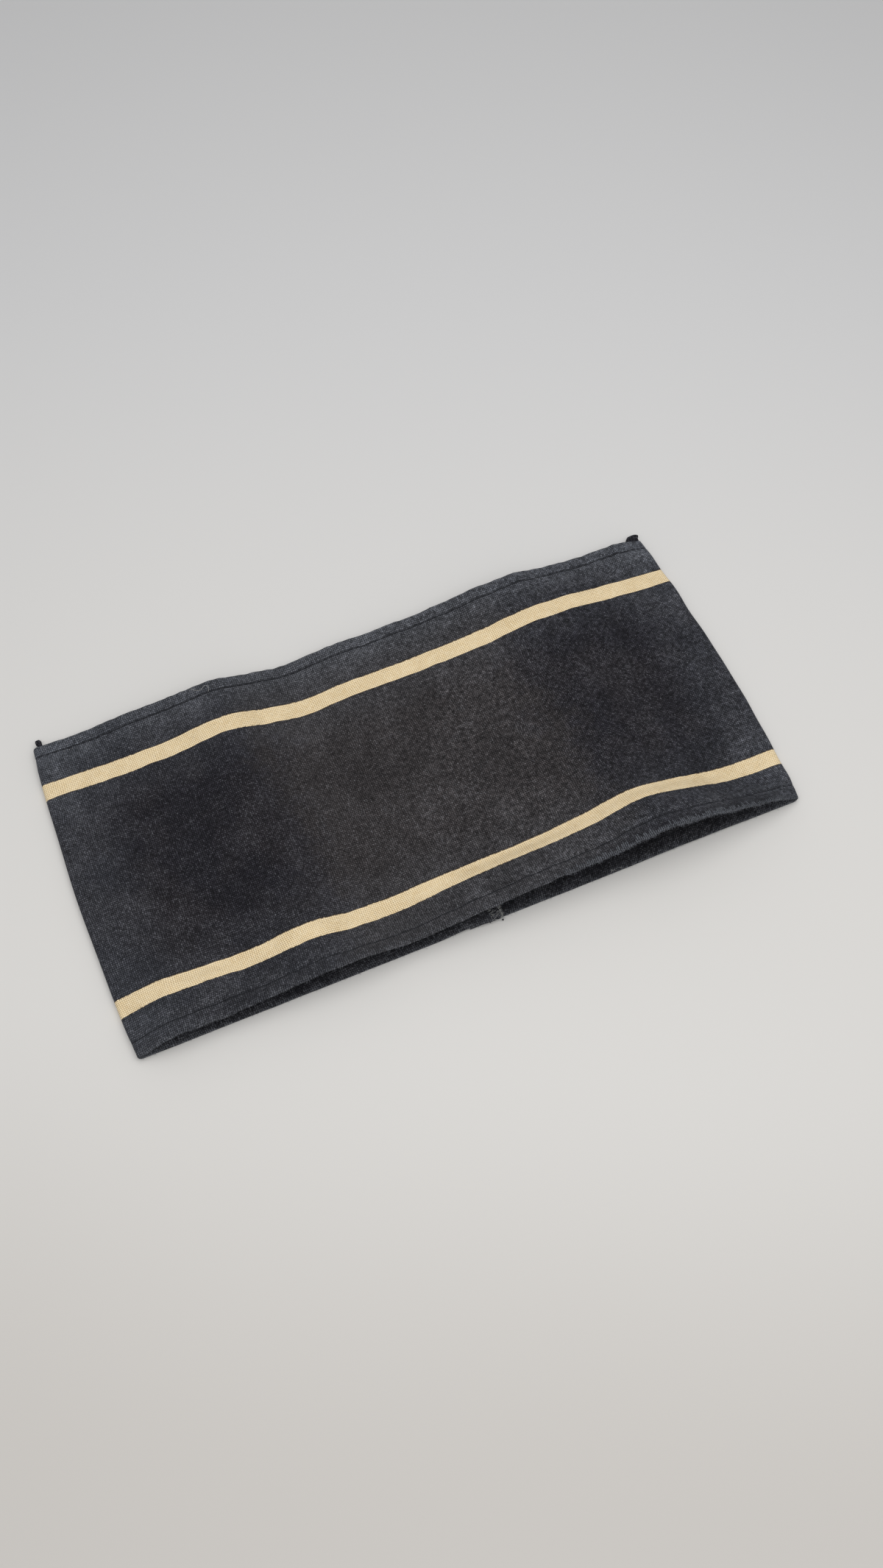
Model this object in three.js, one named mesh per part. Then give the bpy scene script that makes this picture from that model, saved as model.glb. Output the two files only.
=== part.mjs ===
// A cloth armband, lying flat by itself with its ends folded over and its upper layer rippled.
//
// It is one strip of woven cloth, hemmed along both long edges, bent into a loop and lapped on
// itself at the middle of the lower layer. Two light stripes run round it, each let into the
// outer face of the strip. A scrap of hem pokes out past the upper edge beside each fold.
//
// Millimetres. X runs along the band, Y across it towards the upper edge, Z up. The origin is
// on the table, under the middle of the whole.

import * as THREE from "three";

// Driving sizes of the loop as it lies
const BAND_HEIGHT = 110; // from hem to hem
const HALF_LENGTH = 111; // from the middle to either fold, at mid height
const LEFT_FOLD_BOW = 1.8; // how far the folds draw in towards the hems
const RIGHT_FOLD_BOW = 2.6;
const FOLD_SLACK = 0.5; // between the two layers' inner faces at a fold

// Cloth
const CLOTH = 1.2; // wall
const HEM_CLOTH = 1.5; // wall where the hem is turned in and sewn down
const HEM_DEPTH = 6.5;
const HEM_STEP = 0.3; // length of the step from hem to plain wall
const HEM_EASE = 9; // distance over which a fold thickens towards the hem
const HEM_ROUND = 0.4; // rounding of the hem's folded edge

// The lap where the strip's two ends meet, on the lower layer
const LAP_START = -5; // the lower end stops here
const LAP_END = 5; // the upper end stops here
const LAP_GAP = 0.3;
const LAP_RAMP = 9; // length over which the upper end climbs
const LAP_CLEAR = 1.2; // it has climbed this far before the lower end

// Stripes: distances from the hem's edge, and the inlay that carries the light colour
const STRIPE_WIDTH = 5.6;
const LOWER_STRIPE_IN = 13;
const UPPER_STRIPE_IN = 14;
const GROOVE_DEPTH = 0.6;
const INLAY = 0.4;
const INLAY_SUNK = 0.05; // so that the band's own cloth is what meets the table
const INLAY_SIDE_GAP = 0.15;

// The lower layer's hem stands off the table a little near the right end
const LIFT = { at: 70, high: 0.8, halfLength: 36, depth: 20 };

// Scraps of hem past the upper edge: where, how wide and how far they reach
const TUCK_CLOTH = 1.1;
const TUCK_GAP = 0.3;
const TUCKS = [
  { name: "left_hem_tuck", at: -106.4, width: 2.2, reach: 2.2, lean: -0.3, above: 0.8 },
  { name: "right_hem_tuck", at: 104.6, width: 4.4, reach: 1.9, lean: 0.9, above: 1.4 },
];

const HALF_HEIGHT = BAND_HEIGHT / 2;
const LOWER_OUT = -HALF_HEIGHT + LOWER_STRIPE_IN; // edges of the stripes, as places across
const LOWER_IN = LOWER_OUT + STRIPE_WIDTH;
const UPPER_OUT = HALF_HEIGHT - UPPER_STRIPE_IN;
const UPPER_IN = UPPER_OUT - STRIPE_WIDTH;

// Heights of the upper layer's outer face: a row for each ridge, dip or flank along the band,
// and a column for each line across it.
const ACROSS = {
  low: -HALF_HEIGHT,
  lowStripe: LOWER_OUT,
  lowInner: LOWER_IN,
  middle: 0,
  highStripe: (UPPER_IN + UPPER_OUT) / 2,
  high: HALF_HEIGHT,
};
const RIPPLES = [
  { x: -95, low: 8.6, lowStripe: 7.2, lowInner: 6.2, middle: 4.4, highStripe: 3.0, high: 3.6 },
  { x: -84, low: 7.8, lowStripe: 7.2, lowInner: 5.0, middle: 3.8, highStripe: 3.4, high: 5.0 },
  { x: -70, low: 9.2, lowStripe: 4.8, lowInner: 4.0, middle: 4.4, highStripe: 4.8, high: 6.8 },
  { x: -50, low: 11.8, lowStripe: 7.9, lowInner: 7.7, middle: 8.0, highStripe: 9.2, high: 8.8 },
  { x: -36, low: 11.3, lowStripe: 4.0, lowInner: 4.2, middle: 4.8, highStripe: 5.2, high: 5.8 },
  { x: -24, low: 9.0, lowStripe: 3.4, lowInner: 3.2, middle: 3.1, highStripe: 3.1, high: 3.9 },
  { x: -9, low: 10.2, lowStripe: 6.0, lowInner: 4.8, middle: 4.6, highStripe: 4.6, high: 5.7 },
  { x: 0, low: 11.6, lowStripe: 7.8, lowInner: 5.2, middle: 4.8, highStripe: 4.7, high: 5.9 },
  { x: 20, low: 13.8, lowStripe: 9.6, lowInner: 5.8, middle: 4.8, highStripe: 4.8, high: 6.2 },
  { x: 38, low: 15.0, lowStripe: 11.6, lowInner: 9.0, middle: 6.2, highStripe: 5.6, high: 8.6 },
  { x: 57, low: 19.2, lowStripe: 17.4, lowInner: 14.0, middle: 9.4, highStripe: 8.2, high: 9.8 },
  { x: 73, low: 17.2, lowStripe: 12.2, lowInner: 9.2, middle: 7.6, highStripe: 7.4, high: 6.8 },
  { x: 86, low: 11.8, lowStripe: 6.2, lowInner: 4.4, middle: 4.6, highStripe: 5.0, high: 5.4 },
  { x: 98, low: 8.4, lowStripe: 3.6, lowInner: 3.2, middle: 3.6, highStripe: 3.9, high: 6.2 },
];

// How far the upper layer sways towards the lower edge, at the worst place along the band
const SWAY = { low: 0, lowStripe: 0.2, lowInner: 0.5, middle: 1.2, highStripe: 2.2, high: 1.4 };
const SWAY_AT = -15;
const SWAY_HALF_LENGTH = 105;

// Facets
const FOLD_STEPS = 6; // round each fold
const FRONT_STEPS = 46; // along the upper layer
const BACK_STEPS = 10; // along each half of the lower layer
const LAP_STEPS = 4; // up the lap's ramp

const MATERIALS = {
  dark: new THREE.MeshStandardMaterial({ color: 0x1d1e22, roughness: 0.95, metalness: 0 }),
  light: new THREE.MeshStandardMaterial({ color: 0xd3c49b, roughness: 0.95, metalness: 0 }),
};

const smooth = (t) => {
  const c = Math.min(1, Math.max(0, t));
  return c * c * (3 - 2 * c);
};

// A smooth curve through rising knots that never overshoots them, read at one place.
function eased(knots, values, at) {
  const last = knots.length - 1;
  const secant = (i) => (values[i + 1] - values[i]) / (knots[i + 1] - knots[i]);
  const slope = (i) => {
    if (i === 0) return secant(0);
    if (i === last) return secant(last - 1);
    const [a, b] = [secant(i - 1), secant(i)];
    return a * b <= 0 ? 0 : (2 * a * b) / (a + b);
  };
  const place = Math.min(knots[last], Math.max(knots[0], at));
  let i = 0;
  while (i < last - 1 && place > knots[i + 1]) i++;
  const span = knots[i + 1] - knots[i];
  const t = (place - knots[i]) / span;
  const [t2, t3] = [t * t, t * t * t];
  return (
    (2 * t3 - 3 * t2 + 1) * values[i] +
    (t3 - 2 * t2 + t) * span * slope(i) +
    (3 * t2 - 2 * t3) * values[i + 1] +
    (t3 - t2) * span * slope(i + 1)
  );
}

const COLUMNS = Object.keys(ACROSS);
const COLUMN_PLACES = COLUMNS.map((c) => ACROSS[c]);

// Wall that a fold wraps, growing smoothly towards the hems
function foldCloth(across) {
  const fromEdge = HALF_HEIGHT - Math.abs(across);
  const share = smooth((HEM_DEPTH + HEM_EASE - fromEdge) / HEM_EASE);
  return CLOTH + (HEM_CLOTH - CLOTH) * share;
}

const foldRadius = (across) => foldCloth(across) + FOLD_SLACK / 2;
const leftEnd = (across) => -HALF_LENGTH + LEFT_FOLD_BOW * (across / HALF_HEIGHT) ** 2;
const rightEnd = (across) => HALF_LENGTH - RIGHT_FOLD_BOW * (across / HALF_HEIGHT) ** 2;

// Height of the upper layer's outer face
function frontHeight(x, across) {
  const r = foldRadius(across);
  const places = [leftEnd(across) + r, ...RIPPLES.map((row) => row.x), rightEnd(across) - r];
  const heights = COLUMNS.map((column) => {
    const values = [2 * r, ...RIPPLES.map((row) => row[column]), 2 * r];
    return eased(places, values, x);
  });
  return eased(COLUMN_PLACES, heights, across);
}

// Sideways shift of the upper layer
function frontSway(x, across) {
  const most = eased(COLUMN_PLACES, COLUMNS.map((column) => SWAY[column]), across);
  const t = Math.min(1, Math.abs(x - SWAY_AT) / SWAY_HALF_LENGTH);
  return -most * Math.cos((t * Math.PI) / 2) ** 2;
}

// Height of the lower layer's outer face off the table
function undersideHeight(x, across) {
  const along = smooth(1 - Math.abs(x - LIFT.at) / LIFT.halfLength);
  const inFromEdge = smooth(1 - (across + HALF_HEIGHT) / LIFT.depth);
  return LIFT.high * along * inFromEdge;
}

// Climb of the strip's upper end over its lower end
function lapRise(x, across) {
  const share = smooth((x - (LAP_START - LAP_CLEAR - LAP_RAMP)) / LAP_RAMP);
  return (foldCloth(across) + LAP_GAP) * share;
}

// The strip's outer face along one line across it, from its lower end, round the right fold,
// over the top and round the left fold to its upper end: points {x, z, sway}.
function outerLine(across) {
  const r = foldRadius(across);
  const [left, right] = [leftEnd(across) + r, rightEnd(across) - r];
  const line = [];
  const back = (x) => line.push({ x, z: undersideHeight(x, across) + lapRise(x, across), sway: 0 });
  const fold = (centreX, from) => {
    for (let i = 1; i < FOLD_STEPS; i++) {
      const angle = from + (Math.PI * i) / FOLD_STEPS;
      line.push({ x: centreX + r * Math.cos(angle), z: r + r * Math.sin(angle), sway: 0 });
    }
  };
  for (let i = 0; i <= BACK_STEPS; i++) {
    const x = LAP_START + ((right - LAP_START) * i) / BACK_STEPS;
    line.push({ x, z: undersideHeight(x, across), sway: 0 });
  }
  fold(right, -Math.PI / 2);
  for (let i = 0; i <= FRONT_STEPS; i++) {
    const x = right + ((left - right) * i) / FRONT_STEPS;
    line.push({ x, z: frontHeight(x, across), sway: frontSway(x, across) });
  }
  fold(left, Math.PI / 2);
  const rampStart = LAP_START - LAP_CLEAR - LAP_RAMP;
  for (let i = 0; i < BACK_STEPS; i++) back(left + ((rampStart - left) * i) / BACK_STEPS);
  for (let i = 0; i <= LAP_STEPS; i++) back(rampStart + (LAP_RAMP * i) / LAP_STEPS);
  back(LAP_END);
  return line;
}

// Unit directions from the outer face into the cloth, one for each point of a line
function inwards(line) {
  const edges = line.slice(1).map((p, i) => {
    const [dx, dz] = [p.x - line[i].x, p.z - line[i].z];
    return { x: -dz / Math.hypot(dx, dz), z: dx / Math.hypot(dx, dz) };
  });
  return line.map((_, i) => {
    const a = edges[Math.max(0, i - 1)];
    const b = edges[Math.min(edges.length - 1, i)];
    const size = Math.hypot(a.x + b.x, a.z + b.z);
    return { x: (a.x + b.x) / size, z: (a.z + b.z) / size };
  });
}

// A closed solid that follows the loop: a section of {across, depth} points, listed all the
// way round it, is set at each step along the strip, and the two ends are capped.
function stripGeometry(section, capTriangles) {
  const lines = section.map(({ across, depth }) => {
    const line = outerLine(across);
    const into = inwards(line);
    return line.map((p, i) => [
      p.x + into[i].x * depth,
      across + p.sway,
      p.z + into[i].z * depth,
    ]);
  });
  const [around, along] = [section.length, lines[0].length];
  const positions = [];
  for (let i = 0; i < along; i++) for (const line of lines) positions.push(...line[i]);
  const index = [];
  for (let i = 0; i < along - 1; i++) {
    for (let j = 0; j < around; j++) {
      const k = (j + 1) % around;
      const [a, b] = [i * around + j, i * around + k];
      const [c, d] = [a + around, b + around];
      index.push(a, b, d, a, d, c);
    }
  }
  const lastRing = (along - 1) * around;
  for (const [a, b, c] of capTriangles) {
    index.push(a, c, b, lastRing + a, lastRing + b, lastRing + c);
  }
  const geometry = new THREE.BufferGeometry();
  geometry.setAttribute("position", new THREE.Float32BufferAttribute(positions, 3));
  geometry.setIndex(index);
  geometry.computeVertexNormals();
  return geometry;
}

// Fills a section's outline with triangles, for the caps.
function capOf(section) {
  const outline = section.map(({ across, depth }) => new THREE.Vector2(across, depth));
  return THREE.ShapeUtils.triangulateShape(outline, []);
}

// The band's section: its outer face from the lower hem to the upper, with a groove for each
// stripe, and back along its inner face, with the step of each turned hem.
function bandSection() {
  const point = (across, depth) => ({ across, depth });
  const groove = (from, to) => [
    point(from, 0),
    point(from, GROOVE_DEPTH),
    point(to, GROOVE_DEPTH),
    point(to, 0),
  ];
  const hemEdge = (side) => [
    point(side * (HALF_HEIGHT - HEM_ROUND), 0),
    point(side * HALF_HEIGHT, HEM_ROUND),
    point(side * HALF_HEIGHT, HEM_CLOTH - HEM_ROUND),
    point(side * (HALF_HEIGHT - HEM_ROUND), HEM_CLOTH),
  ];
  const hemInner = (side) => [
    point(side * (HALF_HEIGHT - HEM_DEPTH), HEM_CLOTH),
    point(side * (HALF_HEIGHT - HEM_DEPTH - HEM_STEP), CLOTH),
  ];
  const outerRows = [-26, -12, 0, 12, 24].map((across) => point(across, 0));
  const innerRows = [24, 0, -24].map((across) => point(across, CLOTH));
  return [
    ...hemEdge(-1).reverse(),
    point(-HALF_HEIGHT + HEM_DEPTH, 0),
    ...groove(LOWER_OUT, LOWER_IN),
    ...outerRows,
    ...groove(UPPER_IN, UPPER_OUT),
    point(HALF_HEIGHT - HEM_DEPTH, 0),
    ...hemEdge(1),
    ...hemInner(1),
    ...innerRows,
    ...hemInner(-1).reverse(),
  ];
}

// A stripe's section: a thin rectangle, all but flush with the band's outer face
function stripeSection(from, to) {
  const [low, high] = [from + INLAY_SIDE_GAP, to - INLAY_SIDE_GAP];
  return [
    { across: low, depth: INLAY_SUNK + INLAY },
    { across: low, depth: INLAY_SUNK },
    { across: high, depth: INLAY_SUNK },
    { across: high, depth: INLAY_SUNK + INLAY },
  ];
}

// A scrap of hem lying just off the upper edge, with a rounded tip
function tuckMesh({ name, at, width, reach, lean, above }) {
  const outline = new THREE.Shape();
  const half = width / 2;
  outline.moveTo(at - half, 0);
  outline.lineTo(at + half, 0);
  outline.quadraticCurveTo(at + half + lean, reach, at + lean, reach);
  outline.quadraticCurveTo(at - half + lean, reach, at - half, 0);
  const geometry = new THREE.ExtrudeGeometry(outline, {
    depth: TUCK_CLOTH,
    bevelEnabled: false,
    curveSegments: 5,
  });
  const mesh = new THREE.Mesh(geometry, MATERIALS.dark);
  mesh.name = name;
  mesh.position.set(0, HALF_HEIGHT + TUCK_GAP, above);
  return mesh;
}

function stripMesh(name, section, material) {
  const mesh = new THREE.Mesh(stripGeometry(section, capOf(section)), material);
  mesh.name = name;
  return mesh;
}

const armband = new THREE.Group();
armband.add(stripMesh("band", bandSection(), MATERIALS.dark));
armband.add(stripMesh("lower_stripe", stripeSection(LOWER_OUT, LOWER_IN), MATERIALS.light));
armband.add(stripMesh("upper_stripe", stripeSection(UPPER_IN, UPPER_OUT), MATERIALS.light));
TUCKS.forEach((tuck) => armband.add(tuckMesh(tuck)));

// The scraps reach past the upper edge only, so the band sits that much lower of the origin.
const furthestTuck = Math.max(...TUCKS.map((tuck) => TUCK_GAP + tuck.reach));
armband.position.y = -furthestTuck / 2;

const part = new THREE.Group();
part.add(armband);

export default part;
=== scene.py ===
"""A cloth armband lying flat by itself: the looks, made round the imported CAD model.

The band is one strip of plain-woven cotton, printed near black but for two bare stripes. It is
hemmed along both edges, bent into a loop and lapped on itself under its middle. This script
repeats the form that the CAD model gives it, with many more rows, and adds what cloth has: real
thickness, puckered hems, stitches, frayed ends, lint, weave and wear.

Lengths are millimetres until a mesh is made. X runs along the band, Y across it towards the
upper edge and Z up. "Across" is the place over the strip's width, from -55 at the lower edge to
55 at the upper, and "arc" is the distance along the strip from the middle of the upper layer.
"""

import functools
import math
from types import SimpleNamespace

import bpy
import numpy as np
from mathutils import Matrix, Vector


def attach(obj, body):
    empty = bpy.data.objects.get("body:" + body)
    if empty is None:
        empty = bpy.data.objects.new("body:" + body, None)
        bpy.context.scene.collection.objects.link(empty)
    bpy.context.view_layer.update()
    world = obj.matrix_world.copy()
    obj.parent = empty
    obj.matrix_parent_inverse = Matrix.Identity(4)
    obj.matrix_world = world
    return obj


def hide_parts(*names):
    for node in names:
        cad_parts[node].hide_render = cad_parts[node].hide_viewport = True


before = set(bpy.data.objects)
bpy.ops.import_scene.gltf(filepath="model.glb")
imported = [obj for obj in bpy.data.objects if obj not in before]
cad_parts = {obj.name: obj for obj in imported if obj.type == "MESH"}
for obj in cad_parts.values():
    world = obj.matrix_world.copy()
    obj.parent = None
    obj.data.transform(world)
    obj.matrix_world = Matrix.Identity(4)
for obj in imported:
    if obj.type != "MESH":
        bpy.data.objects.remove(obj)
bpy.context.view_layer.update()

MM = 0.001

# The loop as it lies, the same as in the CAD model
BAND_HEIGHT = 110
HALF_LENGTH = 111
LEFT_FOLD_BOW = 1.8
RIGHT_FOLD_BOW = 2.6
FOLD_SLACK = 0.5
FOLD_CLOTH = 1.2
FOLD_HEM_CLOTH = 1.5
HEM_DEPTH = 6.5
HEM_EASE = 9
LAP_START = -5
LAP_END = 5
LAP_RAMP = 9
LAP_CLEAR = 1.2
STRIPE_WIDTH = 5.6
LOWER_STRIPE_IN = 13
UPPER_STRIPE_IN = 14
LIFT_AT = 70  # here the lower layer's lower edge stands off the floor
LIFT_HIGH = 0.8
LIFT_HALF_LENGTH = 36
LIFT_DEPTH = 20
MIDDLE_Y = -1.25  # of the strip's middle line, because scraps reach past the upper edge only

HALF_HEIGHT = BAND_HEIGHT / 2
LOWER_OUT = -HALF_HEIGHT + LOWER_STRIPE_IN
LOWER_IN = LOWER_OUT + STRIPE_WIDTH
UPPER_OUT = HALF_HEIGHT - UPPER_STRIPE_IN
UPPER_IN = UPPER_OUT - STRIPE_WIDTH

# Heights of the upper layer's outer face, by places along the band and lines across it
RIPPLES_AT = (-95, -84, -70, -50, -36, -24, -9, 0, 20, 38, 57, 73, 86, 98)
RIPPLES = dict(
    low=(8.6, 7.8, 9.2, 11.8, 11.3, 9.0, 10.2, 11.6, 13.8, 15.0, 19.2, 17.2, 11.8, 8.4),
    low_stripe=(7.2, 7.2, 4.8, 7.9, 4.0, 3.4, 6.0, 7.8, 9.6, 11.6, 17.4, 12.2, 6.2, 3.6),
    low_inner=(6.2, 5.0, 4.0, 7.7, 4.2, 3.2, 4.8, 5.2, 5.8, 9.0, 14.0, 9.2, 4.4, 3.2),
    middle=(4.4, 3.8, 4.4, 8.0, 4.8, 3.1, 4.6, 4.8, 4.8, 6.2, 9.4, 7.6, 4.6, 3.6),
    high_stripe=(3.0, 3.4, 4.8, 9.2, 5.2, 3.1, 4.6, 4.7, 4.8, 5.6, 8.2, 7.4, 5.0, 3.9),
    high=(3.6, 5.0, 6.8, 8.8, 5.8, 3.9, 5.7, 5.9, 6.2, 8.6, 9.8, 6.8, 5.4, 6.2),
)
ACROSS = dict(
    low=-HALF_HEIGHT,
    low_stripe=LOWER_OUT,
    low_inner=LOWER_IN,
    middle=0,
    high_stripe=(UPPER_IN + UPPER_OUT) / 2,
    high=HALF_HEIGHT,
)
# How far each of these lines sways towards the lower edge, and where it does so most
SWAY = dict(low=0, low_stripe=0.2, low_inner=0.5, middle=1.2, high_stripe=2.2, high=1.4)
SWAY_AT = -15
SWAY_HALF_LENGTH = 105

# The cloth as it really is
CLOTH = 0.55
HEM_CLOTH = 1.2  # three layers, sewn down
LAP_GAP = 0.08
LAP_OVERHANG = 0.7  # the upper end's corner reaches this far past the lower edge
OVERHANG_START = 12  # before the lap's end
OVERHANG_EASE = 10
OVERHANG_FROM = -30  # across the band
OVERHANG_DEPTH = 20
UPPER_EASE = 9  # from a fold to the upper layer's own form
HEM_STEP = 0.5  # over which a hem ends
THREAD_PITCH = 0.62
FOLD_WAVE = 0.3  # unevenness of the two folds
FOLD_WAVE_LONGEST = 38

# A hem puffs up between its fold and its sewing
ROLL_OUT = 0.2
ROLL_IN = 0.1
ROLL_POWER = 0.8

# Sewing: distances in from the hem's edge
STITCH_PITCH = 2.3
STITCH_LENGTH = 1.95
STITCH_RADIUS = 0.15
STITCH_DIP = 0.2  # how deep the sewing pulls a face in
HOLE_DIP = 0.07  # and how much deeper at the needle's holes
DIP_WIDTH = 0.42
LOWER_STITCH_IN = 4.8
UPPER_STITCH_IN = 3.9
UNDER_DIP = 0.45  # share of the dip on the lower layer
SEWING_MARGIN = 3
LAP_SEWING = (LAP_END - 2.2, LAP_START + 2.4)
LAP_SEWING_MARGINS = (2.5, 4)  # at the lower edge and at the upper

# Rows of the visual mesh
BACK_STEPS = 60
FOLD_STEPS = 18
FRONT_STEPS = 300
LAP_STEPS = 16
ROW_STEP = 1.1
HEM_ROW_STEP = 0.5
DIP_ROWS = (-0.85, -0.5, -0.25, 0, 0.25, 0.5, 0.85)
DIP_CLEAR = 0.1  # past these rows, before the next
INNER_ROW_STEP = 2.2
STEP_ROWS = (-0.05, 0.1, 0.25, 0.4, 0.55)
HEM_ROUND_ROWS = 9
HEM_ROWS_PAST = 1  # rows stay close together this far past a hem
ROWS_APART = 0.04  # at least
LINE_STEP = 0.5  # between the lines that single points are placed from

# Scraps of hem past the upper edge, each a fold of cloth that thins towards its tip
SCRAPS = [
    dict(
        name="left_scrap", stands_for="left_hem_tuck", at=-106.4, middle=1.9, half_width=1.05,
        half_thickness=0.75, reach=2.9, lean=-0.3, waist=0.24, seed=61,
    ),
    dict(
        name="right_scrap", stands_for="right_hem_tuck", at=104.7, middle=2.5, half_width=2.45,
        half_thickness=1.0, reach=2.9, lean=0.9, waist=0.0, seed=62,
    ),
]
SCRAP_ROOT = 0.9  # how far each starts inside the hem
SCRAP_RINGS = 16
SCRAP_SIDES = 32
SCRAP_TIP = 0.45  # as a share of its length, where its tip starts
SCRAP_BLUNT = 2.6  # a power, with 2 for a round tip
SCRAP_SQUARE = 3  # a power, with 2 for a round section
SCRAP_PARTED = 0.16  # how far its layers part at the sides
SCRAP_LUMPS = 0.07

# A pale loose thread on the upper hem, as places along and across the band
LOOSE_THREAD = [
    (-56.4, 54.6), (-54.8, 53.1), (-53.2, 52.5), (-51.6, 53.4), (-50.5, 52.7), (-51, 51.2),
]
# Pale specks of lint on the upper layer, and on the lower layer's hem
UPPER_LINT = [
    (-100.1, 50.3), (-99, 50.3), (-97.9, 50.3), (-93.8, 52.8), (-66.4, 46.6), (67.9, 46.9),
]
LOWER_LINT = [(41.3, -54.4), (42.4, -54.2), (43.2, -54.6), (45.1, -54.3)]
LINT_RADIUS = 0.05
LINT_STEPS = 22
# Ends of black thread at the corners of the lap
KNOTS = [(1.2, -54.9), (5.1, -55.7)]
KNOT_CURL = 0.25
KNOT_HIGH = 0.6
KNOT_STEPS = 14

# Short fibres on the hems' folded edges, all along them or from one arc to another
HEM_FUZZ = [
    dict(side=-1, arcs=None, count=620, longest=1.0),
    dict(side=-1, arcs=(-104, -26), count=460, longest=1.0),
    dict(side=-1, arcs=(-86, -42), count=520, longest=1.0),
    dict(side=1, arcs=None, count=300, longest=0.65),
]
SCRAP_FUZZ = 26  # fibres on each scrap
FIBRE_STEPS = 5
FIBRE_WANDER = 0.12
FIBRE_LOWEST = 0.05  # off the floor
FRAYED_FROM = -47  # below this place across, the lap's frayed end shows
FRAYED_SHOWN = 300
FRAYED_HIDDEN = 110
STREWN_FIBRES = 650
STREWN_REACH = 52
STREWN_RADII = (0.014, 0.02, 0.02, 0.018, 0.01)  # along each fibre

# Unevenness is a sum of waves
WAVE_DIRECTIONS = 6
WAVE_CREST = 1.6  # a sum of them seldom rises past this
SHORTEST_WAVE = 0.4  # as a share of the longest
# Waves in the cloth: height, longest wave, how much the place across counts, and seed
BROAD_WAVE = dict(high=0.2, longest=34, lean=0.7, seed=11)
SMALL_WAVE = dict(high=0.1, longest=14, lean=1, seed=12)
PUCKER = dict(high=0.32, longest=13, lean=0.25, seed=13)
FINE_PUCKER = dict(high=0.16, longest=5.5, lean=0.2, seed=15)
UNDER_PUCKER = dict(high=0.14, longest=13, lean=0.25, seed=17)
PUCKER_REACH = 2.5  # past the hem
PUCKER_EASE = 5
LOWER_PUCKERS = 1.35  # times as high as the upper hem's
SINGLE_CLOTH_LOW = 0.14  # how far single cloth lies below the hems' face

# The print is browner and lighter round this arc
MIDDLE_PATCH_AT = -3
MIDDLE_PATCH = dict(start=34, end=56, at_start=0.9, at_end=0)
# It has faded towards the hems' edges and on the upper side; at the folds it is paler from fading
# and from painted sheen
FADING_AND_SHEEN = [
    dict(by="from_edge", start=4, end=38, at_start=0.22, at_end=0),
    dict(by="across", start=22, end=34, at_start=0, at_end=0.05),
    # at the folds: fading, and painted sheen where the folds turn to the light
    dict(by="from_fold", start=3, end=28, at_start=0.23, at_end=0),
]
UPPER_FADE = dict(start=42, end=56, at_start=0, at_end=1)
# Scales of the unevenness, from broad patches to the fibres in a thread
BROAD_SCALE = 0.032
CLOUD_SCALE = 0.14
DRIFT_SCALE = 0.16
GRAIN_SCALE = 0.75
FIBRE_SCALE = 2.5
PATCH_ROUGHNESS = 0.6
# How much each thing makes a place on a thread lighter or darker, as powers of e
TONE_START = -3.1
FIBRE_TONE = 3.8
# Painted light and shade of the weave: lighter crowns, darker sides and gaps
CROWN_LIGHT_AND_SHADE = 1.7
CELL_TONE = 0.4
PATCH_TONE = 0.8
GRAIN_TONE = dict(start=-30, end=30, at_start=2.6, at_end=1.3)
# Threads that show at the lower fold, most round this arc
COMB_AT = -66
COMB_SHARE = dict(start=20, end=52, at_start=1, at_end=0.25)

# Colours as red, green, blue and opacity
PRINT_COOL = (0.0133, 0.0127, 0.0158, 1)
PRINT_WARM = (0.0152, 0.0138, 0.0158, 1)
PRINT_MIDDLE = (0.0308, 0.0278, 0.028, 1)
# Painted shade: the inner face of the loop, darkened where it lies in shadow
INSIDE_PAINTED_SHADE = (0.0085, 0.0085, 0.01, 1)
# Faded print, and painted sheen at the folds
PRINT_FADED_AND_SHEEN = (0.07, 0.0755, 0.087, 1)
PRINT_RIM = (0.045, 0.026, 0.012, 1)
WORN_GREY = (0.135, 0.138, 0.15, 1)
# Painted shade along the lower fold's edge
FOLD_SHADE = (0.009, 0.009, 0.0105, 1)
FOLD_THREADS = (0.14, 0.15, 0.168, 1)
# Dirt and painted shade in the creases of the sewing
SEWING_DIRT_AND_SHADE = (0.005, 0.0052, 0.0065, 1)
CREAM_AGED = (0.71, 0.535, 0.3, 1)
CREAM_CLEAN = (0.89, 0.733, 0.479, 1)
CREAM_PALE = (0.95, 0.85, 0.64, 1)
CREAM_FIBRE = (0.5, 0.38, 0.2, 1)
# Painted shade on the threads' sides and in the holes between them
CREAM_SIDE_SHADE = (0.4, 0.29, 0.15, 1)
CREAM_HOLE_SHADE = (0.13, 0.09, 0.05, 1)
CLOTH_FINISH = dict(sheen=0.045, sheen_tint=(0.75, 0.8, 0.9, 1), specular=0.07)
THREAD_FINISH = dict(sheen=0.1, sheen_tint=(0.8, 0.85, 0.9, 1), specular=0.2)
FLOOR_FINISH = dict(sheen=0, sheen_tint=(1, 1, 1, 1), specular=0.2)
CLOTH_BUMP = 0.00009  # in metres
THREAD_BUMP = 0.00003
THREADS = {
    "black_thread": dict(dark=(0.004, 0.004, 0.006, 1), pale=(0.014, 0.015, 0.019, 1)),
    "grey_fibre": dict(dark=(0.06, 0.065, 0.075, 1), pale=(0.26, 0.27, 0.3, 1)),
    "frayed_end": dict(dark=(0.12, 0.124, 0.13, 1), pale=(0.42, 0.42, 0.4, 1)),
    "pale_fibre": dict(dark=(0.2, 0.2, 0.2, 1), pale=(0.5, 0.49, 0.46, 1)),
}
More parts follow.
